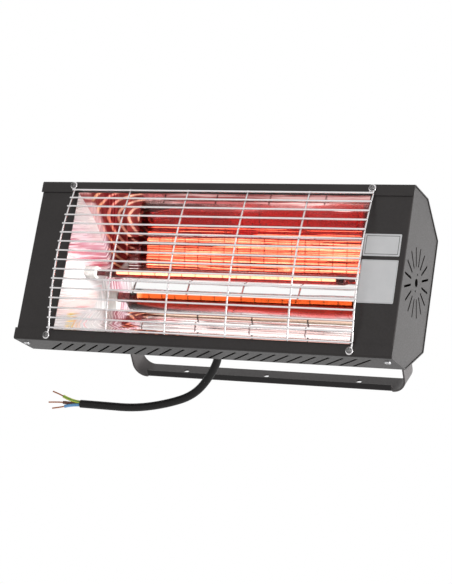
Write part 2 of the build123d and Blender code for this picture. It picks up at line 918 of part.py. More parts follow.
with BuildPart() as bushing_nut:
    with BuildSketch(bushing_plane.offset(-sheet)):
        RegularPolygon(bushing_nut_size, 6, major_radius=False)
        Circle(bushing_radius, mode=Mode.SUBTRACT)
    extrude(amount=-3)
save("bushing_nut", bushing_nut.part)

# Cord: straight runs joined by tangent arcs
cord_route = [
    bushing_seat - slope_out * cord_inside,
    bushing_seat + slope_out * 12,
    bushing_seat + Vector(-11.5, 34.1, -12.0),
    bushing_seat + Vector(-34.3, 57.9, -21.4),
    bushing_seat + Vector(-70.8, 68.4, -28.4),
    bushing_seat + Vector(-110.6, 73.3, -34.4),
    bushing_seat + Vector(-149.6, 70.1, -38.4),
    bushing_seat + Vector(-180.7, 68.5, -40.4),
]
cord_radii = []
for before, corner, after in zip(cord_route, cord_route[1:], cord_route[2:]):
    turn = (corner - before).get_angle(after - corner)
    # The first run is bent at one end only, so its bend may take up more of it
    room = (corner - before).length * (1 if cord_radii else 1.3)
    shorter = min(room, (after - corner).length)
    cord_radii.append(0.45 * shorter / tan(radians(turn) / 2))

with BuildPart() as cord_jacket:
    with BuildLine() as cord_line:
        FilletPolyline(*cord_route, radius=cord_radii)
    with BuildSketch(Plane(cord_route[0], x_dir=across, z_dir=slope_out)):
        Circle(cord_radius)
    sweep(path=cord_line.line)
save("cord_jacket", cord_jacket.part)
cord_length = sum(edge.length for edge in cord_line.edges())
cord_volume = pi * cord_radius ** 2 * cord_length
print("cord radii", [round(radius, 1) for radius in cord_radii])
print("cord length", round(cord_length, 2))
print("cord volume over section times length", round(cord_jacket.part.volume / cord_volume, 5))

# Stripped cores at the free end: forward along the cord, fanned out across it
tail = (cord_route[-1] - cord_route[-2]).normalized()
fan_raw = Vector(0.034, 0.882, -0.470)
fan = (fan_raw - tail * fan_raw.dot(tail)).normalized()
aside = tail.cross(fan)
cord_end = cord_route[-1]


def core(name, angle, length, spread, strand_length, strand_spread):
    "One core: insulated part and bare conductor, given by how far it fans out."
    start = cord_end + fan * (2 * cos(radians(angle))) + aside * (2 * sin(radians(angle)))
    knee = start + tail * (0.45 * length)
    end = cord_end + tail * length + fan * spread
    tip = cord_end + tail * (length + strand_length) + fan * (spread + strand_spread)
    with BuildPart() as insulation:
        with BuildLine() as core_line:
            FilletPolyline(start, knee, end, radius=12)
        with BuildSketch(Plane(start, z_dir=tail)):
            Circle(core_radius)
        sweep(path=core_line.line)
    save(name, insulation.part)
    away = (end - knee).normalized()
    bend_point = end + away * 3
    with BuildPart() as conductor:
        with BuildLine() as strand_line:
            FilletPolyline(end, bend_point, tip, radius=6)
        with BuildSketch(Plane(end, z_dir=away)):
            Circle(conductor_radius)
        sweep(path=strand_line.line)
    return conductor.part


conductors = [
    core("core_earth", 165, 23.5, -7.5, 14.3, -4.9),
    core("core_live", 285, 23.5, 0.0, 19.4, 1.1),
    core("core_neutral", 45, 21.2, 4.6, 16.6, 3.5),
]
save("core_conductors", Compound(children=conductors))

# Terminal block on the back wall
back_inner = housing_depth - sheet
block_front = back_inner - block_depth
lead_depth = back_inner - lead_standoff
block_top = block_z + block_height / 2
block_bottom = block_z - block_height / 2
with BuildPart() as terminal_block:
    with BuildSketch(front_plane(back_inner)):
        with Locations((block_x, block_z)):
            RectangleRounded(block_length, block_height, 1.5)
    extrude(amount=block_depth)
    with BuildSketch(front_plane(block_front)):
        with Locations((block_x, block_z)):
            with GridLocations(pole_pitch, block_height / 2, 3, 2):
                Circle(pole_screw_radius)
    extrude(amount=-3, mode=Mode.SUBTRACT)
    with BuildSketch(front_plane(block_front)):
        with Locations((block_x, block_z)):
            with GridLocations(pole_pitch, 0, 2, 1):
                Rectangle(1.2, block_height)
    extrude(amount=-2, mode=Mode.SUBTRACT)
save("terminal_block", terminal_block.part)

terminal_screws = []
for pole in (-1, 0, 1):
    for end in (-1, 1):
        with BuildPart() as pole_screw:
            with BuildSketch(front_plane(block_front + 3)):
                with Locations((block_x + pole * pole_pitch, block_z + end * block_height / 4)):
                    Circle(pole_screw_radius - 0.3)
            extrude(amount=1.6)
            with BuildSketch(front_plane(block_front + 1.4)):
                with Locations((block_x + pole * pole_pitch, block_z + end * block_height / 4)):
                    Rectangle(3.2, 0.5)
            extrude(amount=-0.6, mode=Mode.SUBTRACT)
        terminal_screws.append(pole_screw.part)
save("terminal_screws", Compound(children=terminal_screws))


def lead(points, bend_size):
    "Insulated wire through points given in width, depth and height."
    places = [spot(*point) for point in points]
    with BuildPart() as wire:
        with BuildLine() as route:
            FilletPolyline(*places, radius=bend_size)
        with BuildSketch(Plane(places[0], z_dir=places[1] - places[0])):
            Circle(lead_radius)
        sweep(path=route.line)
    return wire.part


inner_depth = bushing_depth - cord_inside * slope_rise / slope_length
inner_height = bushing_height + cord_inside * slope_run / slope_length
supply_cores = []
for pole in (-1, 0, 1):
    start_x = bushing_x + pole * lead_pitch
    pole_x = block_x + pole * pole_pitch
    exit_depth = inner_depth - 3 * slope_rise / slope_length
    exit_height = inner_height + 3 * slope_run / slope_length
    supply_points = [
        (start_x, inner_depth, inner_height),
        (start_x, exit_depth, exit_height),
        (pole_x, lead_depth, block_bottom - 5),
        (pole_x, lead_depth, block_bottom),
    ]
    supply_cores.append(lead(supply_points, 1.3))
save("supply_cores", Compound(children=supply_cores))

holder_middle = block_start + holder_length / 2
lamp_leads = []
for side, pole, level in ((-1, -1, 9), (1, 0, 12)):
    pole_x = block_x + pole * pole_pitch
    lamp_points = [
        (pole_x, lead_depth, block_top),
        (pole_x, lead_depth, block_top + level),
        (side * holder_middle, lead_depth, block_top + level),
        (side * holder_middle, lead_depth, 0),
        (side * holder_middle, lamp_depth + holder_size / 2, 0),
    ]
    lamp_leads.append(lead(lamp_points, lead_bend))
save("lamp_leads", Compound(children=lamp_leads))

# Earth lead with its ring, on a stud through the back
with BuildPart() as earth_stud:
    with BuildSketch(front_plane(housing_depth + stud_head)):
        with Locations((stud_x, stud_z)):
            Circle(2 * stud_radius)
    extrude(amount=stud_head)
    with BuildSketch(front_plane(housing_depth)):
        with Locations((stud_x, stud_z)):
            Circle(stud_radius)
    extrude(amount=stud_length)
save("earth_stud", earth_stud.part)

with BuildPart() as earth_nut:
    with BuildSketch(front_plane(back_inner - earth_ring_thickness)):
        with Locations((stud_x, stud_z)):
            RegularPolygon(earth_nut_size, 6, major_radius=False)
            Circle(stud_radius, mode=Mode.SUBTRACT)
    extrude(amount=earth_nut_height)
save("earth_nut", earth_nut.part)

earth_x = block_x + pole_pitch
earth_points = [
    (earth_x, lead_depth, block_top),
    (earth_x, lead_depth, block_top + earth_lead_rise),
    (stud_x, lead_depth, block_top + earth_lead_rise),
    (stud_x, back_inner - lead_radius, stud_z + earth_lead_fold),
    (stud_x, back_inner - lead_radius, stud_z + earth_lead_end),
]
with BuildPart() as earth_ring:
    with BuildSketch(front_plane(back_inner)):
        with Locations((stud_x, stud_z)):
            Circle(earth_ring_radius)
        with Locations((stud_x, stud_z + earth_tab_length / 2)):
            Rectangle(earth_tab_width, earth_tab_length)
        with Locations((stud_x, stud_z)):
            Circle(stud_radius, mode=Mode.SUBTRACT)
    extrude(amount=earth_ring_thickness)
    add(lead(earth_points, earth_lead_bend))
save("earth_lead", earth_ring.part)
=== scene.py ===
import bpy
import bmesh
from math import asin, copysign, cos, pi, radians, sin
from mathutils import Matrix, Vector


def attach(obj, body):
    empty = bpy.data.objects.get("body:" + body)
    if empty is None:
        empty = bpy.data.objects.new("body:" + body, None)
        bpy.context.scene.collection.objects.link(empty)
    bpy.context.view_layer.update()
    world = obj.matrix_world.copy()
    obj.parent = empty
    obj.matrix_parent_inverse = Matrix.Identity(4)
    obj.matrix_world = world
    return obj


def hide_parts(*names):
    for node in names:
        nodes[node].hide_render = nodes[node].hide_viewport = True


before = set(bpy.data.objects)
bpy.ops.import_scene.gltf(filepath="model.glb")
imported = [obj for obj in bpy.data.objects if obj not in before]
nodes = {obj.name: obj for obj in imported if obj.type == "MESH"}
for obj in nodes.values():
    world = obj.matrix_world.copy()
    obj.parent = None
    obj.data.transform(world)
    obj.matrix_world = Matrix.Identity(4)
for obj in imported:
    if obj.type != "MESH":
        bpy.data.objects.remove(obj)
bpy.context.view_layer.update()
scene = bpy.context.scene
scene.view_settings.view_transform = "Standard"

# Housing frame: x along the width, depth into the housing, height up its front, in metres
TILT = radians(45)
ACROSS = Vector((1, 0, 0))
INTO = Vector((0, cos(TILT), sin(TILT)))
UP = Vector((0, -sin(TILT), cos(TILT)))
PIVOT = Vector((0, -0.1404, -0.00125))
PIVOT_DEPTH = 0.119
PIVOT_HEIGHT = 0.0233
FRONT = PIVOT - INTO * PIVOT_DEPTH - UP * PIVOT_HEIGHT


def spot(x, depth, height):
    "A point given in millimetres of width, depth and height of the housing."
    return FRONT + ACROSS * (x / 1000) + INTO * (depth / 1000) + UP * (height / 1000)


# Camera, as it was fitted to the photograph
CAMERA_PLACE = (0.8586, -1.0266, -1.6412)
CAMERA_RIGHT = Vector((0.9016, 0.1756, 0.3953))
CAMERA_FORWARD = Vector((-0.4311, 0.4374, 0.7891))
FOCAL_PIXELS = 1731
PHOTO_HEIGHT = 584
SENSOR = 36

camera = bpy.data.objects.new("camera", bpy.data.cameras.new("camera"))
scene.collection.objects.link(camera)
forward = CAMERA_FORWARD.normalized()
above = CAMERA_RIGHT.normalized().cross(forward).normalized()
right = forward.cross(above).normalized()
turned = Matrix((right, above, -forward)).transposed().to_4x4()
camera.matrix_world = Matrix.Translation(CAMERA_PLACE) @ turned
camera.data.sensor_width = SENSOR
camera.data.lens = FOCAL_PIXELS * SENSOR / PHOTO_HEIGHT
camera.data.clip_start = 0.05
camera.data.clip_end = 60
scene.camera = camera


# Materials
class Paint:
    "A small helper that builds one node material."

    def __init__(self, name, colour, roughness=0.5, metallic=0.0):
        self.material = bpy.data.materials.new(name)
        self.material.use_nodes = True
        self.tree = self.material.node_tree
        self.shader = self.tree.nodes["Principled BSDF"]
        self.shader.inputs["Base Color"].default_value = (*colour, 1)
        self.shader.inputs["Roughness"].default_value = roughness
        self.shader.inputs["Metallic"].default_value = metallic
        self.place = self.node("ShaderNodeTexCoord").outputs["Object"]

    def node(self, kind, **values):
        made = self.tree.nodes.new(kind)
        for key, value in values.items():
            setattr(made, key, value)
        return made

    def link(self, source, target):
        self.tree.links.new(source, target)

    def set(self, **values):
        for key, value in values.items():
            self.shader.inputs[key.replace("_", " ")].default_value = value

    def noise(self, scale, detail=3, stretch=(1, 1, 1), roughness=0.5):
        "Noise over the object's own coordinates, in metres."
        mapping = self.node("ShaderNodeMapping")
        mapping.inputs["Scale"].default_value = stretch
        self.link(self.place, mapping.inputs["Vector"])
        made = self.node("ShaderNodeTexNoise")
        made.inputs["Scale"].default_value = scale
        made.inputs["Detail"].default_value = detail
        made.inputs["Roughness"].default_value = roughness
        self.link(mapping.outputs["Vector"], made.inputs["Vector"])
        return made.outputs["Fac"]

    def spread(self, source, low, high, start=0.3, end=0.7):
        "Maps a factor to a range of numbers."
        made = self.node("ShaderNodeMapRange")
        made.inputs["From Min"].default_value = start
        made.inputs["From Max"].default_value = end
        made.inputs["To Min"].default_value = low
        made.inputs["To Max"].default_value = high
        self.link(source, made.inputs["Value"])
        return made.outputs["Result"]

    def blend(self, source, first, second):
        "Mixes two colours by a factor."
        made = self.node("ShaderNodeMix", data_type="RGBA")
        self.link(source, made.inputs[0])
        for socket, value in ((made.inputs[6], first), (made.inputs[7], second)):
            if isinstance(value, bpy.types.NodeSocket):
                self.link(value, socket)
            else:
                socket.default_value = (*value, 1)
        return made.outputs[2]

    def bump(self, source, strength, distance, under=None):
        "Bumps the surface; a strength may be a socket, and under is a bump below this one."
        made = self.node("ShaderNodeBump")
        if isinstance(strength, bpy.types.NodeSocket):
            self.link(strength, made.inputs["Strength"])
        else:
            made.inputs["Strength"].default_value = strength
        made.inputs["Distance"].default_value = distance
        self.link(source, made.inputs["Height"])
        if under:
            self.link(under, made.inputs["Normal"])
        self.link(made.outputs["Normal"], self.shader.inputs["Normal"])
        return made.outputs["Normal"]

    def along(self, direction, origin):
        "How far a point lies along a direction from an origin, in metres."
        offset = self.node("ShaderNodeVectorMath", operation="SUBTRACT")
        self.link(self.place, offset.inputs[0])
        offset.inputs[1].default_value = origin
        dot = self.node("ShaderNodeVectorMath", operation="DOT_PRODUCT")
        self.link(offset.outputs[0], dot.inputs[0])
        dot.inputs[1].default_value = direction
        return dot.outputs["Value"]

    def math(self, kind, *values):
        "The result of one Math node on sockets or numbers."
        made = self.node("ShaderNodeMath", operation=kind)
        for socket, value in zip(made.inputs, values):
            if isinstance(value, bpy.types.NodeSocket):
                self.link(value, socket)
            else:
                socket.default_value = value
        return made.outputs[0]

    def product(self, first, *others):
        for other in others:
            first = self.math("MULTIPLY", first, other)
        return first

    def zone(self, source, start, full, fade, end):
        "1 where the source lies between full and fade, falling to 0 at start and end."
        rise = self.spread(source, 0, 1, start, full)
        return self.product(rise, self.spread(source, 1, 0, fade, end))

    def colour(self, source):
        self.link(source, self.shader.inputs["Base Color"])

    def rough(self, source):
        self.link(source, self.shader.inputs["Roughness"])


def dress(material, *names):
    "Gives CAD nodes their material."
    for name in names:
        slots = nodes[name].data.materials
        slots.clear()
        slots.append(material)


# Painted shade on the underside of the bracket's stiffening lip, below a height and between its
# ends
LIP_TOP = -0.0152
LIP_HALF = 0.1615
LIP_SHADOW = (0.010, 0.008, 0.008)


def powder_coat(name, dark, light, roughness, lip_shade=None):
    "Matt powder paint; lip is the colour of the underside of the bracket's stiffening lip."
    paint = Paint(name, dark, roughness)
    paint.set(Specular_IOR_Level=0.27)
    patches = paint.spread(paint.noise(38, 3), 0, 0.7)
    grain = paint.spread(paint.noise(430, 2), 0, 0.5, 0.35, 0.65)
    colour = paint.blend(paint.math("ADD", patches, grain), dark, light)
    # Paints shade on the underside of the stiffening lip, below LIP_TOP and within LIP_HALF
    if lip_shade:
        parts = paint.node("ShaderNodeSeparateXYZ")
        paint.link(paint.place, parts.inputs["Vector"])
        under = paint.spread(parts.outputs["Z"], 1, 0, LIP_TOP, LIP_TOP + 0.0006)
        away = paint.math("ABSOLUTE", parts.outputs["X"])
        inside = paint.spread(away, 1, 0, LIP_HALF, LIP_HALF + 0.001)
        colour = paint.blend(paint.product(under, inside), colour, lip_shade)
    paint.colour(colour)
    paint.rough(paint.spread(paint.noise(700, 2), roughness - 0.05, roughness + 0.07))
    paint.bump(paint.noise(2600, 2), 0.12, 0.0002)
    return paint.material


def plated(name, colour, roughness):
    "Bare or plated metal, a little uneven in its gloss."
    paint = Paint(name, colour, roughness, 1.0)
    paint.rough(paint.spread(paint.noise(900, 2), roughness * 0.7, roughness * 1.4))
    paint.bump(paint.noise(1800, 2), 0.08, 0.0001)
    return paint.material


CASE_DARK, CASE_LIGHT = (0.0275, 0.0235, 0.0230), (0.0345, 0.0300, 0.0295)
BRACKET_DARK, BRACKET_LIGHT = (0.088, 0.078, 0.077), (0.110, 0.099, 0.098)
case_paint = powder_coat("case_paint", CASE_DARK, CASE_LIGHT, 0.42)
bracket_paint = powder_coat("bracket_paint", BRACKET_DARK, BRACKET_LIGHT, 0.40, LIP_SHADOW)
dress(case_paint, "housing_shell", "end_cap_left", "end_cap_right")
dress(bracket_paint, "wall_bracket", "hinge_ear_left", "hinge_ear_right")

chrome = plated("guard_chrome", (0.68, 0.66, 0.665), 0.12)
dress(chrome, "guard_bars", "guard_uprights")
dress(plated("guard_screw_steel", (0.15, 0.145, 0.145), 0.18), "guard_screws")
zinc = plated("zinc", (0.60, 0.60, 0.61), 0.28)
dress(zinc, "case_screws", "holder_screws", "holder_bracket_left", "holder_bracket_right")
dress(zinc, "earth_stud", "earth_nut")
dark_steel = plated("dark_steel", (0.32, 0.32, 0.33), 0.35)
dress(dark_steel, "pivot_bolts", "pivot_washers", "pivot_nuts", "ear_rivets")


# Reflector's painted reflections of the red lamp, its filament and the guard: each zone starts, is
# full, fades and ends at these heights, or places across, in metres
BRIGHT = (0.97, 0.965, 0.96)
# Zone of real rolling marks in the bump, and of painted reflection lines in the colour
WORKED_AND_LINE_REFLECTION = (0.014, 0.020, 0.050, 0.064)
ROSY_REFLECTION = (0.044, 0.054, 0.074, 0.078)
RIM = (0.0745, 0.0775)
STRAW_REFLECTION = (-0.0340, -0.0310, -0.0170, -0.0160)
BRONZE_REFLECTION = (-0.0242, -0.0230, -0.0165, -0.0155)
TINTED_FROM = (-0.128, -0.114)
STREAK = (-0.0605, -0.0575, -0.0535, -0.0505)
STREAK_ACROSS = (-0.150, -0.120, -0.060, -0.010)
RINGS_ACROSS = (-0.172, -0.166, -0.101, -0.097)
RINGS_FROM = (0.012, 0.016)
RING_PITCH = 0.0136
RING_CENTRE = (-0.089, 0.0644)
# The painted reflection rings end and the painted reflection lines start at a line this steep, from
# this place across
SLANT, SLANT_START = 1.27, -0.175
# Two worked patches: place across, height, half width and half height
PATCHES = ((0.012, 0.066, 0.022, 0.006), (0.146, 0.071, 0.016, 0.007))


def squares(paint, wide, tall):
    "The square of how far a point lies from a centre."
    return paint.math("ADD", paint.math("POWER", wide, 2), paint.math("POWER", tall, 2))


def ring_reflections(paint, colour, across, height, slant):
    "Adds rings round the lamp's end, flatter near the top."
    flat = paint.spread(height, 1.9, 3.6, 0.058, 0.068)
    tall = paint.product(paint.math("SUBTRACT", height, RING_CENTRE[1]), flat)
    wide = paint.math("SUBTRACT", across, RING_CENTRE[0])
    far = paint.math("SQRT", squares(paint, wide, tall))
    wobble = paint.product(paint.noise(40, 2), 0.004)
    phase = paint.product(paint.math("ADD", far, wobble), 2 * pi / RING_PITCH)
    ring = paint.spread(paint.math("SINE", phase), 0, 1, 0.35, 0.95)
    # The painted reflection rings turn paler towards the reflector's end
    toward_end = paint.spread(across, 1, 0, -0.176, -0.150)
    ring_light = paint.blend(toward_end, (0.86, 0.42, 0.30), (0.98, 0.52, 0.18))
    ring_colour = paint.blend(ring, (0.22, 0.028, 0.026), ring_light)
    left_of = paint.spread(slant, 1, 0, -0.004, 0.002)
    ringed = paint.product(left_of, paint.zone(across, *RINGS_ACROSS))
    ringed = paint.product(ringed, paint.spread(height, 0, 1, *RINGS_FROM))
    return paint.blend(ringed, colour, ring_colour)


def mirror_sheet():
    "Bright rolled aluminium with heat tints: lines where it is bent most, rings by the lamp's end."
    paint = Paint("mirror_sheet", BRIGHT, 0.02, 1.0)
    paint.rough(paint.spread(paint.noise(60, 2), 0.012, 0.04))
    across = paint.along(ACROSS, FRONT)
    height = paint.along(UP, FRONT)
    start = paint.math("MULTIPLY_ADD", height, SLANT, SLANT_START)
    slant = paint.math("SUBTRACT", across, start)

    # Painted reflection lines, dark red, where the sheet is bent most
    lines = paint.spread(paint.noise(330, 3, (0.010, 1, 1), 0.55), 0, 1, 0.40, 0.58)
    worked_and_line_reflection = paint.zone(height, *WORKED_AND_LINE_REFLECTION)
    lined = paint.product(worked_and_line_reflection, paint.spread(slant, 0, 1, -0.002, 0.004), lines)
    colour = paint.blend(lined, BRIGHT, (0.44, 0.22, 0.20))

    # Painted reflection of the red lamp: rosy above it, and deeper in a rim under the top lip
    colour = paint.blend(paint.zone(height, *ROSY_REFLECTION), colour, (0.80, 0.50, 0.50))
    pale = paint.spread(paint.noise(120, 4, (0.08, 1, 1), 0.6), 0, 1, 0.46, 0.62)
    rim_colour = paint.blend(pale, (0.36, 0.09, 0.09), (0.80, 0.48, 0.46))
    colour = paint.blend(paint.spread(height, 0, 1, *RIM), colour, rim_colour)
    colour = ring_reflections(paint, colour, across, height, slant)

    # Straw and bronze painted reflections of the filament below the lamp
    beside = paint.spread(across, 0, 1, *TINTED_FROM)
    for band, tint in ((STRAW_REFLECTION, (0.84, 0.64, 0.44)), (BRONZE_REFLECTION, (0.24, 0.14, 0.055))):
        colour = paint.blend(paint.product(beside, paint.zone(height, *band)), colour, tint)

    # Painted reflection: a warm red streak along the lower curve
    streak = paint.product(paint.zone(height, *STREAK), paint.zone(across, *STREAK_ACROSS))
    fray = paint.spread(paint.noise(150, 4, (0.08, 1, 1), 0.6), 0, 1, 0.42, 0.56)
    colour = paint.blend(paint.product(streak, fray), colour, (0.55, 0.06, 0.06))
    paint.colour(colour)

    # Waves, and fine rolling marks where the sheet is worked
    wavy = paint.bump(paint.noise(22, 2, (0.35, 1, 1)), 0.12, 0.002)
    for x, rise, half_wide, half_tall in PATCHES:
        wide = paint.math("DIVIDE", paint.math("SUBTRACT", across, x), half_wide)
        tall = paint.math("DIVIDE", paint.math("SUBTRACT", height, rise), half_tall)
        patch = paint.spread(squares(paint, wide, tall), 0.16, 0, 0.2, 1.0)
        worked_and_line_reflection = paint.math("MAXIMUM", worked_and_line_reflection, patch)
    rolled = paint.spread(worked_and_line_reflection, 0.02, 0.6, 0, 1)
    paint.bump(paint.noise(210, 2, (0.014, 1, 1), 0.5), rolled, 0.00045, wavy)
    return paint.material


# End plates of the reflector: heights and depths of their painted reflections, in metres
SATIN = (0.98, 0.97, 0.97)
ROSE_REFLECTION = (0.000, 0.012, 0.040, 0.056)
FILAMENT_REFLECTION_TOP = (-0.058, -0.050)
FILAMENT_REFLECTION_DEPTH = (0.020, 0.028)


def brushed_sheet():
    "The reflector's end plates: satin sheet with a rosy heat tint and slanting scratches."
    paint = Paint("brushed_sheet", SATIN, 0.3, 0.3)
    height = paint.along(UP, FRONT)
    depth = paint.along(INTO, FRONT)
    slant = paint.along((INTO * 0.95 + UP * 0.32).normalized(), FRONT)
    cross = paint.along((UP * 0.95 - INTO * 0.32).normalized(), FRONT)
    lines = paint.node("ShaderNodeCombineXYZ")
    paint.link(paint.product(slant, 12.0), lines.inputs["X"])
    paint.link(paint.product(cross, 240.0), lines.inputs["Y"])
    scratch = paint.node("ShaderNodeTexNoise")
    scratch.inputs["Scale"].default_value = 1.0
    scratch.inputs["Detail"].default_value = 3
    paint.link(lines.outputs[0], scratch.inputs["Vector"])
    scratches = scratch.outputs["Fac"]
    streaks = paint.spread(scratches, 0, 1, 0.42, 0.56)

    # Painted reflection of the red lamp: rosy beside and above it, streaked along the scratches
    deep = paint.spread(height, 1, 0, 0.022, 0.036)
    rose = paint.blend(deep, (0.80, 0.46, 0.56), (0.52, 0.12, 0.18))
    warm = paint.blend(streaks, rose, (0.92, 0.78, 0.82))
    colour = paint.blend(paint.zone(height, *ROSE_REFLECTION), SATIN, warm)

    # Faint pink scratches below it, real scratches tinted by painted reflection, and a painted
    # reflection of the filament at the foot
    faint = paint.spread(scratches, 0, 1, 0.60, 0.66)
    below = paint.product(faint, paint.spread(height, 1, 0, -0.004, 0.004))
    colour = paint.blend(below, colour, (0.80, 0.52, 0.54))
    low = paint.product(
        paint.spread(height, 1, 0, *FILAMENT_REFLECTION_TOP), paint.spread(depth, 0, 1, *FILAMENT_REFLECTION_DEPTH)
    )
    filament_reflection = paint.blend(
        paint.spread(depth, 0, 1, 0.030, 0.046), (0.98, 0.72, 0.16), (0.72, 0.16, 0.06)
    )
    colour = paint.blend(paint.product(low, streaks), colour, filament_reflection)
    paint.colour(colour)
    paint.rough(paint.spread(scratches, 0.20, 0.34))
    paint.bump(scratches, 0.15, 0.0002)
    return paint.material


mirror = mirror_sheet()
dress(brushed_sheet(), "reflector_end_left", "reflector_end_right")


def finished(build, name):
    "The mesh of a bmesh that is done with."
    mesh = bpy.data.meshes.new(name)
    build.to_mesh(mesh)
    build.free()
    return mesh


def show(name, mesh, material, slot, *replaced, body="housing"):
    "Puts a mesh in the scene, on its body and in the place of CAD nodes."
    piece = bpy.data.objects.new(name, mesh)
    scene.collection.objects.link(piece)
    mesh.materials.append(material)
    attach(piece, body)
    if replaced:
        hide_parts(*replaced)
    return piece


# Trough of the reflector, in millimetres. Its upper curve throws the view from a point in front
# back past the lamp, at the distances from the lamp's axis given here for heights up the curve
LAMP_DEPTH = 46.4
VIEWPOINT = (-1667.3, -509.6)
MISSES = (
    (8, -5.0),
    (15, -4.2),
    (20, -2.2),
    (24, -1.3),
    (45, 1.3),
    (50, 2.4),
    (62, 3.3),
    (76, 4.5),
    (79, 5.6),
    (86, 8.0),
)
SHEET = 0.6
# Depth and height of the points where the section changes
BEHIND_LAMP = (83.8, 8.7)
RIDGE = (77.6, 2.0)
FOLD_B = (73.4, -16.0)
FOLD_C = (67.5, -39.8)
FOLD_D = (35.7, -65.4)
MOUTH_FOOT = (0, -85)
# Lips at the mouth: their depth, and the heights of their inner and outer edges
LIP_DEPTH, LIP_INNER, LIP_OUTER = 1.5, 84.4, 93.4
# Half the width at the mouth, and how much narrower it gets with depth on each side
MOUTH_HALF, END_SLANT = 184, 0.13
COLUMNS = 24
CURVE_STEP = 0.5
# Edges that turn by more than this stay sharp
SHARP = radians(35)


def upper_curve():
    "Points of the smooth upper part of the trough, as depth and height, from the top down."
    depth, height = BEHIND_LAMP
    points = []
    while depth > LIP_DEPTH + 0.1:
        points.append((depth, height))
        for (low, first), (high, second) in zip(MISSES, MISSES[1:]):
            if height <= high:
                miss = first + (second - first) * max(height - low, 0) / (high - low)
                break
        lamp_way = Vector((LAMP_DEPTH - depth, -height))
        view_way = Vector((VIEWPOINT[0] - depth, VIEWPOINT[1] - height)).normalized()
        turn = asin(miss / lamp_way.length)
        beside = Vector((lamp_way.y, -lamp_way.x))
        aim = lamp_way * cos(turn) + beside * sin(turn)
        normal = (aim.normalized() + view_way).normalized()
        along = Vector((-normal.y, normal.x))
        if along.y < 0:
            along = -along
        depth += along.x * CURVE_STEP
        height += along.y * CURVE_STEP
    return points[::-1]


def shallow_arc(start, end, sagitta, steps):
    "Points of an arc that bulges out of the trough by its sagitta."
    chord = Vector(end) - Vector(start)
    middle = (Vector(start) + Vector(end)) / 2
    normal = Vector((-chord.y, chord.x)).normalized()
    radius = chord.length**2 / (8 * sagitta) + sagitta / 2
    centre = middle - normal * (radius - sagitta)
    half = (chord.length / 2) / radius
    along = chord.normalized()
    points = []
    for step in range(steps + 1):
        turn = half * (2 * step / steps - 1)
        points.append(tuple(centre + along * (radius * sin(turn)) + normal * (radius * cos(turn))))
    return points


def trough_section():
    "Points of the trough's inner side from lip to lip, and the numbers of the points it folds at."
    smooth = upper_curve()
    flat_a = [tuple(Vector(RIDGE).lerp(Vector(FOLD_B), k / 8)) for k in range(8)]
    hollow = shallow_arc(FOLD_B, FOLD_C, 0.64, 20)[:-1]
    flat_b = [tuple(Vector(FOLD_C).lerp(Vector(FOLD_D), k / 8)) for k in range(8)]
    arc = [point for point in shallow_arc(FOLD_D, MOUTH_FOOT, 2.3, 40) if point[0] > LIP_DEPTH]
    inner = [(LIP_DEPTH, LIP_OUTER), (LIP_DEPTH, LIP_INNER)]
    inner += smooth + flat_a + hollow + flat_b + arc
    inner += [(LIP_DEPTH, -LIP_INNER), (LIP_DEPTH, -LIP_OUTER)]
    folds = {1, len(inner) - 2}
    for part in (smooth, flat_a, hollow, flat_b):
        folds.add(inner.index(part[-1]) + 1)
    return inner, folds


def thickened(inner):
    "The outer side of a section, one sheet's thickness away."
    outer = []
    for index, point in enumerate(inner):
        before = Vector(inner[max(index - 1, 0)])
        after = Vector(inner[min(index + 1, len(inner) - 1)])
        here = Vector(point)
        sides = []
        for run in (here - before, after - here):
            if run.length > 1e-6:
                sides.append(Vector((-run.y, run.x)).normalized())
        push = sides[0] + sides[-1]
        outer.append(tuple(here + push * (SHEET / (1 + sides[0].dot(sides[-1])))))
    return outer


def trough_mesh():
    "The sheet of the trough with its two lips, trimmed to the slanted ends."
    inner, folds = trough_section()
    build = bmesh.new()
    skins = []
    for profile in (inner, thickened(inner)):
        rows = []
        for depth, height in profile:
            half = MOUTH_HALF - END_SLANT * depth
            row = []
            for k in range(COLUMNS + 1):
                row.append(build.verts.new(spot(half * (2 * k / COLUMNS - 1), depth, height)))
            rows.append(row)
        skins.append(rows)
    for rows in skins:
        for first, second in zip(rows, rows[1:]):
            for k in range(COLUMNS):
                build.faces.new((first[k], first[k + 1], second[k + 1], second[k]))
    inside, outside = skins
    for row in (0, -1):
        near, far = inside[row], outside[row]
        for k in range(COLUMNS):
            build.faces.new((near[k], near[k + 1], far[k + 1], far[k]))
    for index in range(len(inner) - 1):
        near, far = inside[index : index + 2], outside[index : index + 2]
        for k in (0, COLUMNS):
            build.faces.new((near[0][k], near[1][k], far[1][k], far[0][k]))
    bmesh.ops.recalc_face_normals(build, faces=build.faces)
    for face in build.faces:
        face.smooth = True
    sharp = {v for rows in skins for index in folds for v in rows[index]}
    for edge in build.edges:
        if edge.calc_face_angle(0) > SHARP:
            edge.smooth = False
        if edge.verts[0] in sharp and edge.verts[1] in sharp:
            edge.smooth = False
    return finished(build, "trough_mirror")


show("trough_mirror", trough_mesh(), mirror, "mirror_sheet", "reflector_trough")


def around(sides):
    "Cosine and sine of equal steps round a circle."
    return [(cos(2 * pi * k / sides), sin(2 * pi * k / sides)) for k in range(sides)]


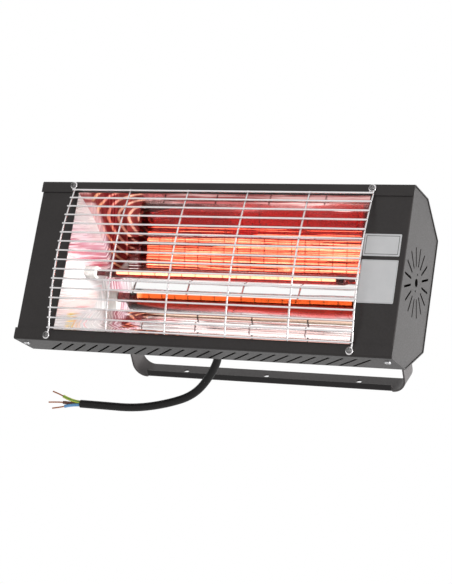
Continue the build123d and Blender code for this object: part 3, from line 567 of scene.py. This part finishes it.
def pipe_mesh(name, paths, radius, sides=8):
    "Round tubes along lists of points, with the way along and around in a UV map."
    build = bmesh.new()
    uv = build.loops.layers.uv.new("UVMap")
    for path in paths:
        normal = None
        rings = []
        travelled = 0.0
        for index, here in enumerate(path):
            before = path[max(index - 1, 0)]
            after = path[min(index + 1, len(path) - 1)]
            tangent = (after - before).normalized()
            if normal is None:
                normal = tangent.orthogonal().normalized()
            else:
                travelled += (here - before).length
                normal = (normal - tangent * normal.dot(tangent)).normalized()
            side = tangent.cross(normal)
            ring = []
            for c, s in around(sides):
                ring.append(build.verts.new(here + (normal * c + side * s) * radius))
            rings.append((ring, travelled))
        for (first, start), (second, end) in zip(rings, rings[1:]):
            for k in range(sides):
                corners = (first[k], first[(k + 1) % sides], second[(k + 1) % sides], second[k])
                face = build.faces.new(corners)
                face.smooth = True
                places = ((start, k), (start, k + 1), (end, k + 1), (end, k))
                for loop, (u, v) in zip(face.loops, places):
                    loop[uv].uv = (u * 1000, v / sides)
        build.faces.new(rings[0][0][::-1])
        build.faces.new(rings[-1][0])
    return finished(build, name)


# Lamp, in millimetres: quartz tube drawn down to its flat seals, and the coiled filament
TUBE_RADIUS = 5.5
SEAL_DEPTH, SEAL_HEIGHT = 1.5, 4.0
SEAL_START, SEAL_RUN = 148.5, 6
TUBE_STATIONS = [0, 40, 80, 120, 140, 147, 149, 150, 151, 152.5, 154, 156, 172]
# Half of the bore: place along the tube and radius
BORE = ((146, 4.5), (147.6, 3.9), (148.8, 2.6), (149.2, 0.4))
TUBE_BORE = 4.5
TUBE_SIDES = 48
RUBY = (0.61, 0.105, 0.098)
RUBY_SHADED_END = (0.22, 0.05, 0.05)


def quartz_mesh():
    "Tube with a bore, flattened at both ends."
    build = bmesh.new()
    loops = []
    for x in [-x for x in TUBE_STATIONS[:0:-1]] + TUBE_STATIONS:
        flat = min(max((abs(x) - SEAL_START) / SEAL_RUN, 0), 1)
        flat = flat * flat * (3 - 2 * flat)
        sharpness = 1 - 0.55 * flat
        deep = TUBE_RADIUS + (SEAL_DEPTH - TUBE_RADIUS) * flat
        tall = TUBE_RADIUS + (SEAL_HEIGHT - TUBE_RADIUS) * flat
        ring = []
        for c, s in around(TUBE_SIDES):
            depth = deep * copysign(abs(c) ** sharpness, c)
            height = tall * copysign(abs(s) ** sharpness, s)
            ring.append(build.verts.new(spot(x, LAMP_DEPTH + depth, height)))
        loops.append(ring)
    for first, second in zip(loops, loops[1:]):
        for k in range(TUBE_SIDES):
            after = (k + 1) % TUBE_SIDES
            build.faces.new((first[k], second[k], second[after], first[after]))
    build.faces.new(loops[0])
    build.faces.new(loops[-1][::-1])
    inner = []
    for x, radius in [(-x, radius) for x, radius in BORE[::-1]] + [(0, TUBE_BORE), *BORE]:
        ring = []
        for c, s in around(TUBE_SIDES):
            ring.append(build.verts.new(spot(x, LAMP_DEPTH + radius * c, radius * s)))
        inner.append(ring)
    hollow = []
    for first, second in zip(inner, inner[1:]):
        for k in range(TUBE_SIDES):
            after = (k + 1) % TUBE_SIDES
            hollow.append(build.faces.new((first[k], first[after], second[after], second[k])))
    hollow.append(build.faces.new(inner[0][::-1]))
    hollow.append(build.faces.new(inner[-1]))
    for face in build.faces:
        face.smooth = len(face.verts) == 4
    bmesh.ops.recalc_face_normals(build, faces=build.faces)
    # The bore's faces look into the bore, so that the tube is a wall and no solid rod
    bmesh.ops.reverse_faces(build, faces=hollow)
    return finished(build, "quartz_tube")


def ruby_quartz():
    "Clear ruby glass that scatters some of the filament's light, but not at its cold ends."
    paint = Paint("ruby_quartz", RUBY, 0.01)
    paint.set(Transmission_Weight=1.0, IOR=1.34)
    parts = paint.node("ShaderNodeSeparateXYZ")
    paint.link(paint.place, parts.inputs["Vector"])
    away = paint.math("ABSOLUTE", parts.outputs["X"])
    # Painted shade: the glass is darker beyond the filament's ends, where no filament light shines
    # through it
    paint.colour(paint.blend(paint.spread(away, 0, 1, 0.139, 0.143), RUBY, RUBY_SHADED_END))
    glow = paint.spread(away, 0.012, 0.0, 0.128, 0.146)
    paint.link(glow, paint.shader.inputs["Emission Strength"])
    paint.set(Emission_Color=(0.75, 0.02, 0.012, 1))
    return paint.material


quartz = show("quartz_tube", quartz_mesh(), ruby_quartz(), "ruby_quartz", "lamp_tube")


def glowing_wire():
    "Glowing tungsten, a little uneven along its length."
    paint = Paint("filament_wire", (0.3, 0.2, 0.1), 0.5)
    paint.set(Emission_Color=(0.68, 1.0, 0.60, 1))
    uneven = paint.spread(paint.noise(300, 2), 9.0, 13.0)
    paint.link(uneven, paint.shader.inputs["Emission Strength"])
    paint.material.cycles.emission_sampling = "NONE"
    return paint.material


COIL_HALF = 139.6
COIL_RADIUS = 1.35
COIL_WIRE = 0.00025
COIL_TURNS = 380
COIL_STEPS = 12
coil = []
for step in range(COIL_TURNS * COIL_STEPS + 1):
    angle = 2 * pi * step / COIL_STEPS
    x = -COIL_HALF + 2 * COIL_HALF * step / (COIL_TURNS * COIL_STEPS)
    coil.append(spot(x, LAMP_DEPTH + COIL_RADIUS * cos(angle), COIL_RADIUS * sin(angle)))
coil_mesh = pipe_mesh("filament_coil", [coil], COIL_WIRE, 5)
show("filament_coil", coil_mesh, glowing_wire(), "filament_wire", "lamp_filament")

# Supports: three turns each, two close round the coil and one that widens to the tube's wall
SUPPORTS = 17
SUPPORT_SPAN = 280
SUPPORT_RADIUS = 1.85
SUPPORT_WIDENING = 2.4
SUPPORT_WIRE = 0.00018
TURN_PITCH = 0.35
TURN_STEPS = 20
CLOSE_STEPS = 2 * TURN_STEPS
support_wire = plated("support_wire", (0.10, 0.06, 0.05), 0.4)
dress(support_wire, "lamp_pins")
spirals = []
for index in range(SUPPORTS):
    middle = SUPPORT_SPAN * (index / (SUPPORTS - 1) - 0.5)
    path = []
    for step in range(3 * TURN_STEPS + 1):
        angle = 2 * pi * step / TURN_STEPS
        reach = SUPPORT_RADIUS + SUPPORT_WIDENING * max(step - CLOSE_STEPS, 0) / TURN_STEPS
        x = middle + TURN_PITCH * (min(step, CLOSE_STEPS) / TURN_STEPS - 1)
        path.append(spot(x, LAMP_DEPTH + reach * cos(angle), reach * sin(angle)))
    spirals.append(path)
spiral_mesh = pipe_mesh("support_spirals", spirals, SUPPORT_WIRE, 6)
show("support_spirals", spiral_mesh, support_wire, "support_wire", "filament_supports")


def ceramic(name, colour, roughness=0.55):
    "Fired ceramic with fine specks."
    paint = Paint(name, colour, roughness)
    speck = paint.spread(paint.noise(400, 4), 0, 1, 0.4, 0.7)
    paint.colour(paint.blend(speck, colour, tuple(c * 0.86 for c in colour)))
    paint.bump(paint.noise(1800, 3), 0.15, 0.0002)
    return paint.material


dress(ceramic("lamp_ceramic", (0.88, 0.86, 0.82), 0.22), "lamp_caps")
dress(ceramic("holder_ceramic", (0.72, 0.70, 0.65)), "holder_block_left", "holder_block_right")
contact_metal = plated("contact_metal", (0.75, 0.70, 0.58), 0.25)
dress(contact_metal, "lamp_buttons", "contact_plunger_left", "contact_plunger_right")


def plastic(name, colour, roughness, grain=1500, depth=0.0001, shine=0.5):
    "Plastic, rubber or fibre with a fine grain."
    paint = Paint(name, colour, roughness)
    paint.set(Specular_IOR_Level=shine)
    patch = paint.spread(paint.noise(90, 3), 0, 1)
    paint.colour(paint.blend(patch, colour, tuple(c * 0.8 for c in colour)))
    paint.rough(paint.spread(paint.noise(grain / 3, 2), roughness - 0.06, roughness + 0.06))
    paint.bump(paint.noise(grain, 2), 0.1, depth)
    return paint.material


dress(plastic("friction_fibre", (0.06, 0.055, 0.05), 0.8), "friction_washers")
dress(plastic("bushing_nylon", (0.020, 0.020, 0.021), 0.45), "cord_bushing", "bushing_nut")
dress(plastic("block_plastic", (0.62, 0.58, 0.50), 0.5), "terminal_block")
dress(plated("terminal_brass", (0.70, 0.52, 0.24), 0.3), "terminal_screws")
dress(plastic("lead_sleeve", (0.66, 0.62, 0.55), 0.8), "supply_cores", "lamp_leads")
core_green = plastic("core_green", (0.10, 0.42, 0.08), 0.35)
dress(core_green, "earth_lead")


def plate_silver(name, inset, ink):
    "Bare silver plate with a printed line round it, inset from its edge."
    points = [v.co for v in nodes[name].data.vertices]
    low = Vector((min(p.dot(ACROSS) for p in points), min(p.dot(UP) for p in points)))
    high = Vector((max(p.dot(ACROSS) for p in points), max(p.dot(UP) for p in points)))
    half = (high - low) / 2
    centre = ACROSS * (low.x + half.x) + UP * (low.y + half.y)
    paint = Paint(f"silver_{name}", (0.80, 0.80, 0.81), 0.42)
    patches = paint.spread(paint.noise(45, 3, (1, 1, 1), 0.6), 0, 1)
    colour = paint.blend(patches, (0.82, 0.82, 0.83), (0.76, 0.765, 0.775))
    sides = []
    for direction, reach in ((ACROSS, half.x), (UP, half.y)):
        away = paint.math("ABSOLUTE", paint.along(direction, centre))
        sides.append(paint.math("SUBTRACT", away, reach - inset))
    edge = paint.math("ABSOLUTE", paint.math("MAXIMUM", *sides))
    line = paint.spread(edge, 1, 0, 0.00022, 0.00038)
    paint.colour(paint.blend(line, colour, ink))
    paint.rough(paint.spread(paint.noise(500, 2), 0.36, 0.48))
    paint.bump(paint.noise(900, 2, (0.05, 1, 1)), 0.06, 0.0001)
    return paint.material


dress(plate_silver("plate_small", 0.0022, (0.05, 0.05, 0.055)), "plate_small")
dress(plate_silver("plate_large", 0.0010, (0.62, 0.62, 0.63)), "plate_large")

# Cord: from inside the housing straight out of its bushing, and then by steps from there in
# millimetres of the row frame
SEAT = spot(-12.3, 89.118, -70.123)
OUT = Vector((0, 0.9783, -0.2075)).normalized()
CORD_INSIDE = 0.010
CORD_STRAIGHT = 0.012
CORD_STEPS = (
    (-11.5, 34.1, -12.0),
    (-34.3, 57.9, -21.4),
    (-70.8, 68.4, -28.4),
    (-110.6, 73.3, -34.4),
    (-149.6, 70.1, -38.4),
    (-180.7, 68.5, -40.4),
)
route = [SEAT - OUT * CORD_INSIDE, SEAT + OUT * CORD_STRAIGHT]
route += [SEAT + Vector(step) / 1000 for step in CORD_STEPS]
curve = bpy.data.curves.new("cord", "CURVE")
curve.dimensions = "3D"
spline = curve.splines.new("NURBS")
spline.points.add(len(route) - 1)
for point, place in zip(spline.points, route):
    point.co = (*place, 1)
spline.order_u = 3
spline.use_endpoint_u = True
spline.resolution_u = 16
curve.bevel_depth = 0.0048
curve.bevel_resolution = 8
curve.use_fill_caps = True
cord = bpy.data.objects.new("cord", curve)
scene.collection.objects.link(cord)
rubber = plastic("cord_rubber", (0.011, 0.010, 0.010), 0.5, grain=900, depth=0.0002, shine=0.25)
cord.data.materials.append(rubber)
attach(cord, "housing")
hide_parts("cord_jacket")

# Stripped end: three cores that fan out, each with its twisted strands, in metres
END = route[-1]
TAIL = (route[-1] - route[-2]).normalized()
SPREAD_WAY = Vector((0.034, 0.882, -0.470))
FAN = (SPREAD_WAY - TAIL * SPREAD_WAY.dot(TAIL)).normalized()
ASIDE = TAIL.cross(FAN)
CORE_OFFSET = 0.002
CORE_HIDDEN = 0.002
CORE_KNEE = 0.45
SLEEVE_RADIUS = 0.0019
STRANDS = 6
STRAND_RADIUS = 0.00029
STRAND_LAY = 0.00058
STRAND_TURNS = 1.6
STRAND_HIDDEN = 0.001
STRAND_KNEE = 0.005


def bent(start, knee, end, steps):
    "A smooth bend from start to end that a knee point pulls."
    points = []
    for step in range(steps + 1):
        u = step / steps
        points.append(start * (1 - u) ** 2 + knee * (2 * u * (1 - u)) + end * u**2)
    return points


def twisted(path, count, reach, turns):
    "Strands wound round a path."
    normal = (path[1] - path[0]).orthogonal().normalized()
    strands = [[] for _ in range(count)]
    for index, here in enumerate(path):
        tangent = (path[min(index + 1, len(path) - 1)] - path[max(index - 1, 0)]).normalized()
        normal = (normal - tangent * normal.dot(tangent)).normalized()
        side = tangent.cross(normal)
        for k, strand in enumerate(strands):
            angle = 2 * pi * (k / count + turns * index / (len(path) - 1))
            strand.append(here + (normal * cos(angle) + side * sin(angle)) * reach)
    return strands


def striped_green():
    "Green sleeve with a yellow stripe along it."
    paint = Paint("core_green_yellow", (0.10, 0.42, 0.08), 0.35)
    parts = paint.node("ShaderNodeSeparateXYZ")
    maps = paint.node("ShaderNodeTexCoord")
    paint.link(maps.outputs["UV"], parts.inputs["Vector"])
    turned = paint.math("FRACT", paint.product(parts.outputs["Y"], 2))
    half = paint.math("ABSOLUTE", paint.math("SUBTRACT", turned, 0.5))
    stripe = paint.spread(half, 1, 0, 0.39, 0.41)
    paint.colour(paint.blend(stripe, (0.07, 0.34, 0.07), (0.72, 0.78, 0.08)))
    paint.rough(paint.spread(paint.noise(500, 2), 0.3, 0.42))
    paint.bump(paint.noise(1500, 2), 0.1, 0.0001)
    return paint.material


brown = plastic("core_brown", (0.17, 0.055, 0.025), 0.35)
blue = plastic("core_blue", (0.20, 0.50, 0.92), 0.35)
# Each core: its place round the cord in degrees, its sleeve's length and how far that fans out,
# its bare strands' length and how much farther they fan out
CORES = (
    ("core_earth", "core_green_yellow", 165, 0.0235, -0.0075, 0.0143, -0.0049, striped_green()),
    ("core_live", "core_brown", 285, 0.0235, 0.0, 0.0194, 0.0011, brown),
    ("core_neutral", "core_blue", 45, 0.0212, 0.0046, 0.0166, 0.0035, blue),
)
strands = []
for name, slot, angle, length, spread, bare, bare_spread, sleeve in CORES:
    aside = FAN * cos(radians(angle)) + ASIDE * sin(radians(angle))
    start = END + aside * CORE_OFFSET
    knee = start + TAIL * (CORE_KNEE * length)
    end = END + TAIL * length + FAN * spread
    tip = END + TAIL * (length + bare) + FAN * (spread + bare_spread)
    away = (end - knee).normalized()
    tube = pipe_mesh(name, [bent(start - TAIL * CORE_HIDDEN, knee, end, 24)], SLEEVE_RADIUS, 16)
    show(f"{name}_sleeve", tube, sleeve, slot, name)
    line = bent(end - away * STRAND_HIDDEN, end + away * STRAND_KNEE, tip, 40)
    strands += twisted(line, STRANDS, STRAND_LAY, STRAND_TURNS) + twisted(line, 1, 0, 0)
copper = plated("copper", (0.44, 0.17, 0.075), 0.35)
strand_mesh = pipe_mesh("core_strands", strands, STRAND_RADIUS, 6)
wires = show("core_strands", strand_mesh, copper, "copper", "core_conductors")

# Stage: world and floor are plain white to the camera, in mirrors and through glass, and light
# the heater more softly than that
WORLD_LIGHT = 0.42


def sees_white(tree):
    "1 for camera, glossy and transmission rays, and 0 for the others."
    rays = tree.nodes.new("ShaderNodeLightPath")
    total = rays.outputs["Is Camera Ray"]
    for kind in ("Is Glossy Ray", "Is Transmission Ray"):
        larger = tree.nodes.new("ShaderNodeMath")
        larger.operation = "MAXIMUM"
        tree.links.new(total, larger.inputs[0])
        tree.links.new(rays.outputs[kind], larger.inputs[1])
        total = larger.outputs[0]
    return total


world = bpy.data.worlds.new("studio")
world.use_nodes = True
scene.world = world
tree = world.node_tree
background = tree.nodes["Background"]
background.inputs["Color"].default_value = (1, 1, 1, 1)
level = tree.nodes.new("ShaderNodeMapRange")
level.inputs["To Min"].default_value = WORLD_LIGHT
level.inputs["To Max"].default_value = 1.0
tree.links.new(sees_white(tree), level.inputs["Value"])
tree.links.new(level.outputs["Result"], background.inputs["Strength"])

grid = bmesh.new()
bmesh.ops.create_grid(grid, x_segments=8, y_segments=8, size=6)
floor = bpy.data.objects.new("floor", finished(grid, "floor"))
floor.location = (0, -1, -2.25)
scene.collection.objects.link(floor)
floor_paint = Paint("floor", (0.9, 0.9, 0.9), 0.8)
white = floor_paint.node("ShaderNodeEmission")
mixer = floor_paint.node("ShaderNodeMixShader")
floor_paint.link(sees_white(floor_paint.tree), mixer.inputs[0])
floor_paint.link(floor_paint.shader.outputs[0], mixer.inputs[1])
floor_paint.link(white.outputs[0], mixer.inputs[2])
output = floor_paint.tree.nodes["Material Output"]
floor_paint.link(mixer.outputs[0], output.inputs["Surface"])
floor.data.materials.append(floor_paint.material)


def area_light(name, place, target, size, watts):
    "A rectangular light that points at its target."
    light = bpy.data.lights.new(name, "AREA")
    light.shape = "RECTANGLE"
    light.size, light.size_y = size
    light.energy = watts
    holder = bpy.data.objects.new(name, light)
    scene.collection.objects.link(holder)
    holder.location = place
    aim = Vector(target) - Vector(place)
    holder.rotation_mode = "QUATERNION"
    holder.rotation_quaternion = aim.to_track_quat("-Z", "Y")


MIDDLE = (0, -0.2, -0.1)
area_light("key", (2.4, -0.1, -0.3), MIDDLE, (1.0, 1.4), 43)
area_light("fill", (-0.5, -2.3, -1.2), MIDDLE, (1.6, 1.2), 5)
area_light("rim", (0.9, 0.45, 1.0), (0.2, -0.2, -0.1), (1.0, 0.8), 3)

# The heater's own light on what stands round its lamp: it rides on the lamp
GLOW_WATTS = 0.2
GLOW_PLACE = 125
for name, x in (("glow_left", -GLOW_PLACE), ("glow_right", GLOW_PLACE)):
    light = bpy.data.lights.new(name, "POINT")
    light.energy = GLOW_WATTS
    light.color = (0.94, 0.95, 0.95)
    light.shadow_soft_size = 0.012
    holder = bpy.data.objects.new(name, light)
    scene.collection.objects.link(holder)
    holder.location = spot(x, 22, 4)
    holder.visible_glossy = False
    holder.visible_transmission = False
    holder.parent = quartz
